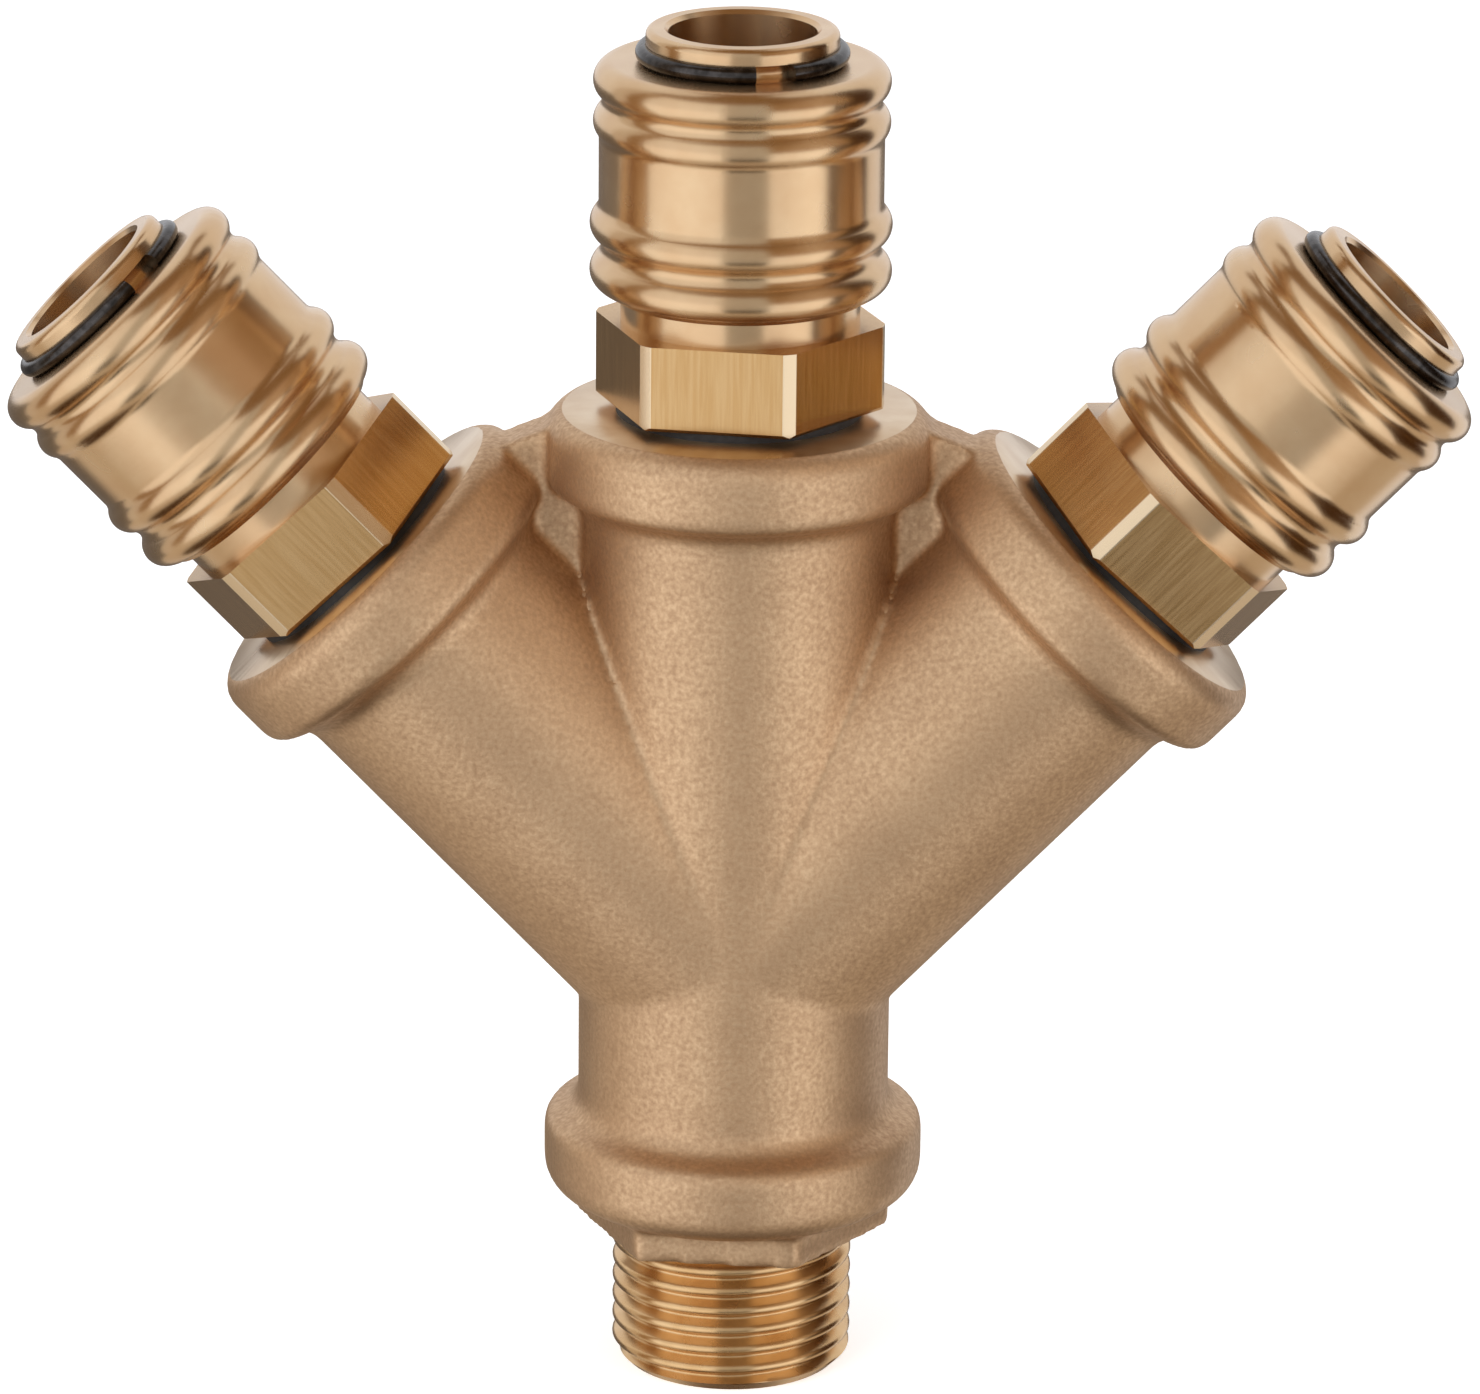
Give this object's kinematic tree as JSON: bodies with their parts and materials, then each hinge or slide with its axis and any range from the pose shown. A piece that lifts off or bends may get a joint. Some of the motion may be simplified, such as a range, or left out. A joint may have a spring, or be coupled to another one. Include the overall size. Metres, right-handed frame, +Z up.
{
  "type": "air manifold with quick couplings",
  "caption": "Cast brass air distributor with a male inlet thread and fanned outlets, each with a screwed-in sleeve-locking quick coupling.",
  "frame": {"origin": "centre of the inlet thread's end face, on which the part stands", "axes": "+Z up the inlet's axis, +X towards the right-hand outlet in the plane of the three outlets, -Y towards the front"},
  "size_m": [0.1248, 0.033, 0.1199],
  "materials": {
    "cast_brass": "blasted casting",
    "turned_brass": "bright turned",
    "spring_steel": "drawn wire",
    "ball_steel": "polished",
    "nitrile_rubber": "matt moulded"
  },
  "bodies": {
    "distributor": {"manifold_body": "cast_brass", "left_adapter": "turned_brass", "left_thread_seal": "nitrile_rubber", "left_barrel": "turned_brass", "left_retaining_ring": "spring_steel", "left_plug_seal": "nitrile_rubber", "left_sleeve_spring": "spring_steel", "left_valve_spring": "spring_steel", "middle_adapter": "turned_brass", "middle_thread_seal": "nitrile_rubber", "middle_barrel": "turned_brass", "middle_retaining_ring": "spring_steel", "middle_plug_seal": "nitrile_rubber", "middle_sleeve_spring": "spring_steel", "middle_valve_spring": "spring_steel", "right_adapter": "turned_brass", "right_thread_seal": "nitrile_rubber", "right_barrel": "turned_brass", "right_retaining_ring": "spring_steel", "right_plug_seal": "nitrile_rubber", "right_sleeve_spring": "spring_steel", "right_valve_spring": "spring_steel"},
    "left_slide_sleeve": {"left_sleeve": "turned_brass"},
    "left_valve": {"left_valve_poppet": "turned_brass", "left_valve_seal": "nitrile_rubber"},
    "left_lock_1": {"left_ball_1": "ball_steel"},
    "left_lock_2": {"left_ball_2": "ball_steel"},
    "left_lock_3": {"left_ball_3": "ball_steel"},
    "middle_slide_sleeve": {"middle_sleeve": "turned_brass"},
    "middle_valve": {"middle_valve_poppet": "turned_brass", "middle_valve_seal": "nitrile_rubber"},
    "middle_lock_1": {"middle_ball_1": "ball_steel"},
    "middle_lock_2": {"middle_ball_2": "ball_steel"},
    "middle_lock_3": {"middle_ball_3": "ball_steel"},
    "right_slide_sleeve": {"right_sleeve": "turned_brass"},
    "right_valve": {"right_valve_poppet": "turned_brass", "right_valve_seal": "nitrile_rubber"},
    "right_lock_1": {"right_ball_1": "ball_steel"},
    "right_lock_2": {"right_ball_2": "ball_steel"},
    "right_lock_3": {"right_ball_3": "ball_steel"}
  },
  "joints": [
    {"name": "left_sleeve_slide", "type": "slide", "parent": "distributor", "child": "left_slide_sleeve", "axis": [0.6947, 0, -0.7193], "range_m": [0, 0.002], "stiffness_N_per_m": 2000, "springref_m": -0.0002, "deforming": ["left_sleeve_spring"]},
    {"name": "left_valve_slide", "type": "slide", "parent": "distributor", "child": "left_valve", "axis": [0.6947, 0, -0.7193], "range_m": [0, 0.0026], "stiffness_N_per_m": 500, "springref_m": -0.0002, "deforming": ["left_valve_spring"]},
    {"name": "left_ball_1_slide", "type": "slide", "parent": "distributor", "child": "left_lock_1", "axis": [0, 1, 0], "range_m": [0, 0.001]},
    {"name": "left_ball_2_slide", "type": "slide", "parent": "distributor", "child": "left_lock_2", "axis": [-0.623, -0.5, -0.6016], "range_m": [0, 0.001]},
    {"name": "left_ball_3_slide", "type": "slide", "parent": "distributor", "child": "left_lock_3", "axis": [0.623, -0.5, 0.6016], "range_m": [0, 0.001]},
    {"name": "middle_sleeve_slide", "type": "slide", "parent": "distributor", "child": "middle_slide_sleeve", "axis": [0, 0, -1], "range_m": [0, 0.002], "stiffness_N_per_m": 2000, "springref_m": -0.0002, "deforming": ["middle_sleeve_spring"]},
    {"name": "middle_valve_slide", "type": "slide", "parent": "distributor", "child": "middle_valve", "axis": [0, 0, -1], "range_m": [0, 0.0026], "stiffness_N_per_m": 500, "springref_m": -0.0002, "deforming": ["middle_valve_spring"]},
    {"name": "middle_ball_1_slide", "type": "slide", "parent": "distributor", "child": "middle_lock_1", "axis": [0, 1, 0], "range_m": [0, 0.001]},
    {"name": "middle_ball_2_slide", "type": "slide", "parent": "distributor", "child": "middle_lock_2", "axis": [-0.866, -0.5, 0], "range_m": [0, 0.001]},
    {"name": "middle_ball_3_slide", "type": "slide", "parent": "distributor", "child": "middle_lock_3", "axis": [0.866, -0.5, 0], "range_m": [0, 0.001]},
    {"name": "right_sleeve_slide", "type": "slide", "parent": "distributor", "child": "right_slide_sleeve", "axis": [-0.6947, 0, -0.7193], "range_m": [0, 0.002], "stiffness_N_per_m": 2000, "springref_m": -0.0002, "deforming": ["right_sleeve_spring"]},
    {"name": "right_valve_slide", "type": "slide", "parent": "distributor", "child": "right_valve", "axis": [-0.6947, 0, -0.7193], "range_m": [0, 0.0026], "stiffness_N_per_m": 500, "springref_m": -0.0002, "deforming": ["right_valve_spring"]},
    {"name": "right_ball_1_slide", "type": "slide", "parent": "distributor", "child": "right_lock_1", "axis": [0, 1, 0], "range_m": [0, 0.001]},
    {"name": "right_ball_2_slide", "type": "slide", "parent": "distributor", "child": "right_lock_2", "axis": [-0.623, -0.5, 0.6016], "range_m": [0, 0.001]},
    {"name": "right_ball_3_slide", "type": "slide", "parent": "distributor", "child": "right_lock_3", "axis": [0.623, -0.5, -0.6016], "range_m": [0, 0.001]}
  ],
  "couplings": [
    {"joint": "left_ball_1_slide", "follows": "left_sleeve_slide", "ratio": 0.5},
    {"joint": "left_ball_2_slide", "follows": "left_sleeve_slide", "ratio": 0.5},
    {"joint": "left_ball_3_slide", "follows": "left_sleeve_slide", "ratio": 0.5},
    {"joint": "middle_ball_1_slide", "follows": "middle_sleeve_slide", "ratio": 0.5},
    {"joint": "middle_ball_2_slide", "follows": "middle_sleeve_slide", "ratio": 0.5},
    {"joint": "middle_ball_3_slide", "follows": "middle_sleeve_slide", "ratio": 0.5},
    {"joint": "right_ball_1_slide", "follows": "right_sleeve_slide", "ratio": 0.5},
    {"joint": "right_ball_2_slide", "follows": "right_sleeve_slide", "ratio": 0.5},
    {"joint": "right_ball_3_slide", "follows": "right_sleeve_slide", "ratio": 0.5}
  ]
}
